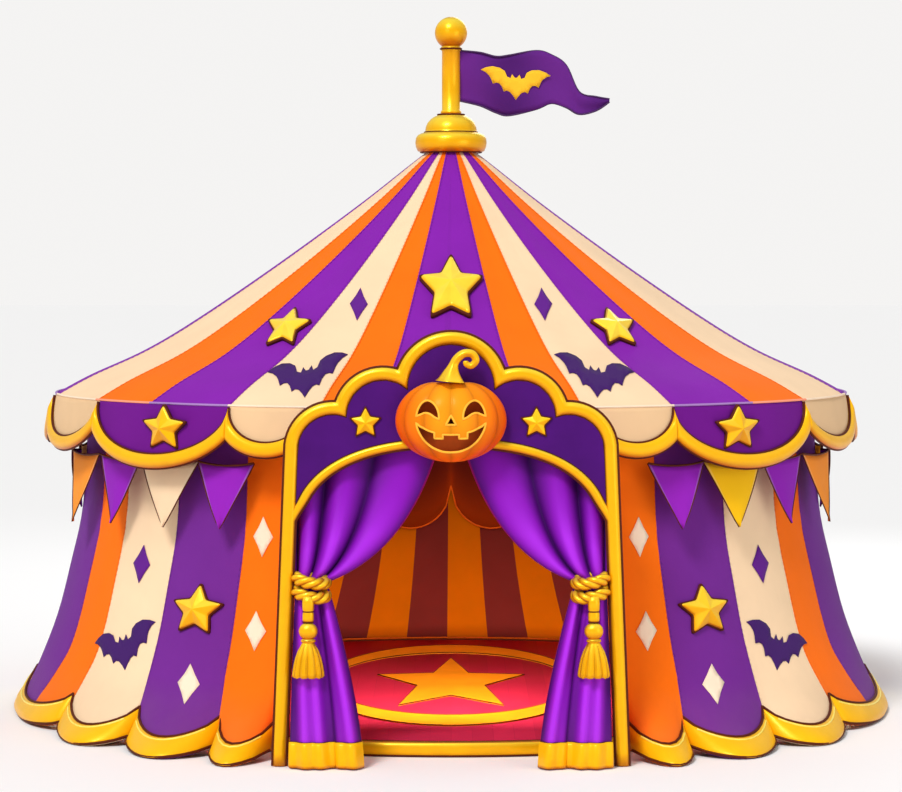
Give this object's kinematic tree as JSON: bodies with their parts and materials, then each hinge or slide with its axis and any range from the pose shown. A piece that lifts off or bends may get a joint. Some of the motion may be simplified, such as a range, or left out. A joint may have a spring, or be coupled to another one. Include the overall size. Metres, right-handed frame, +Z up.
{
  "type": "circus big top tent",
  "caption": "Small round striped big top with an arched, curtained portal, ring floor, scalloped valance, bunting and a flag on its crown.",
  "frame": {"origin": "on the tent's vertical axis at ground level, on the underside of the floor deck", "axes": "+Z up along the tent's axis; the doorway faces -Y; +X is to the right of someone facing the doorway"},
  "size_m": [8.6006, 9.3935, 6.82],
  "materials": {
    "roof_canvas": "woven canvas in purple, orange and cream stripes",
    "wall_canvas": "woven canvas in purple, orange and cream stripes with a gold hem",
    "valance_cloth": "cream and purple cloth with padded gold edging",
    "bunting_cloth": "pennants in purple, cream, orange and yellow",
    "curtain_cloth": "satin cloth with a gold hem",
    "lining_cloth": "orange and maroon stripes",
    "pelmet_cloth": "dark orange cloth",
    "flag_cloth": "purple cloth with a yellow bat",
    "gilt_metal": "glossy gold paint",
    "frame_steel": "satin purple paint",
    "gilt_rope": "twisted gold rope and tassel",
    "head_board": "satin purple paint with small gilt stars",
    "deck_wood": "painted crimson boards",
    "inlay_paint": "gold painted inlay",
    "pumpkin_skin": "glossy orange moulding with a dark cut-out face"
  },
  "bodies": {
    "root": {"roof_gore_1": "roof_canvas", "roof_gore_2": "roof_canvas", "roof_gore_3": "roof_canvas", "roof_gore_4": "roof_canvas", "roof_gore_5": "roof_canvas", "roof_gore_6": "roof_canvas", "roof_gore_7": "roof_canvas", "roof_gore_8": "roof_canvas", "eave_ring": "frame_steel", "crown_hub": "frame_steel", "crown_cap": "gilt_metal", "flag_pole": "gilt_metal", "pole_ball": "gilt_metal", "flag": "flag_cloth", "wall_right_1": "wall_canvas", "wall_right_2": "wall_canvas", "wall_right_3": "wall_canvas", "wall_right_4": "wall_canvas", "wall_left_1": "wall_canvas", "wall_left_2": "wall_canvas", "wall_left_3": "wall_canvas", "wall_left_4": "wall_canvas", "wall_back": "wall_canvas", "valance_right_front": "valance_cloth", "valance_left_front": "valance_cloth", "valance_right_back": "valance_cloth", "valance_left_back": "valance_cloth", "valance_back": "valance_cloth", "bunting_right": "bunting_cloth", "bunting_left": "bunting_cloth", "floor_deck": "deck_wood", "floor_rim": "gilt_metal", "floor_ring": "inlay_paint", "floor_star": "inlay_paint", "lining": "lining_cloth", "inner_pelmet": "pelmet_cloth", "post_right": "gilt_metal", "post_left": "gilt_metal", "head_trim": "gilt_metal", "arch_trim": "gilt_metal", "head_board": "head_board", "porch_hood": "wall_canvas", "return_right": "wall_canvas", "return_left": "wall_canvas", "curtain_right": "curtain_cloth", "curtain_left": "curtain_cloth", "tieback_right": "gilt_rope", "tieback_left": "gilt_rope", "pumpkin": "pumpkin_skin", "pumpkin_stem": "gilt_metal", "valance_star_right": "gilt_metal", "valance_star_left": "gilt_metal", "wall_star_right": "gilt_metal", "wall_star_left": "gilt_metal", "roof_star_right": "gilt_metal", "roof_star_left": "gilt_metal", "roof_star_front": "gilt_metal"}
  },
  "joints": []
}
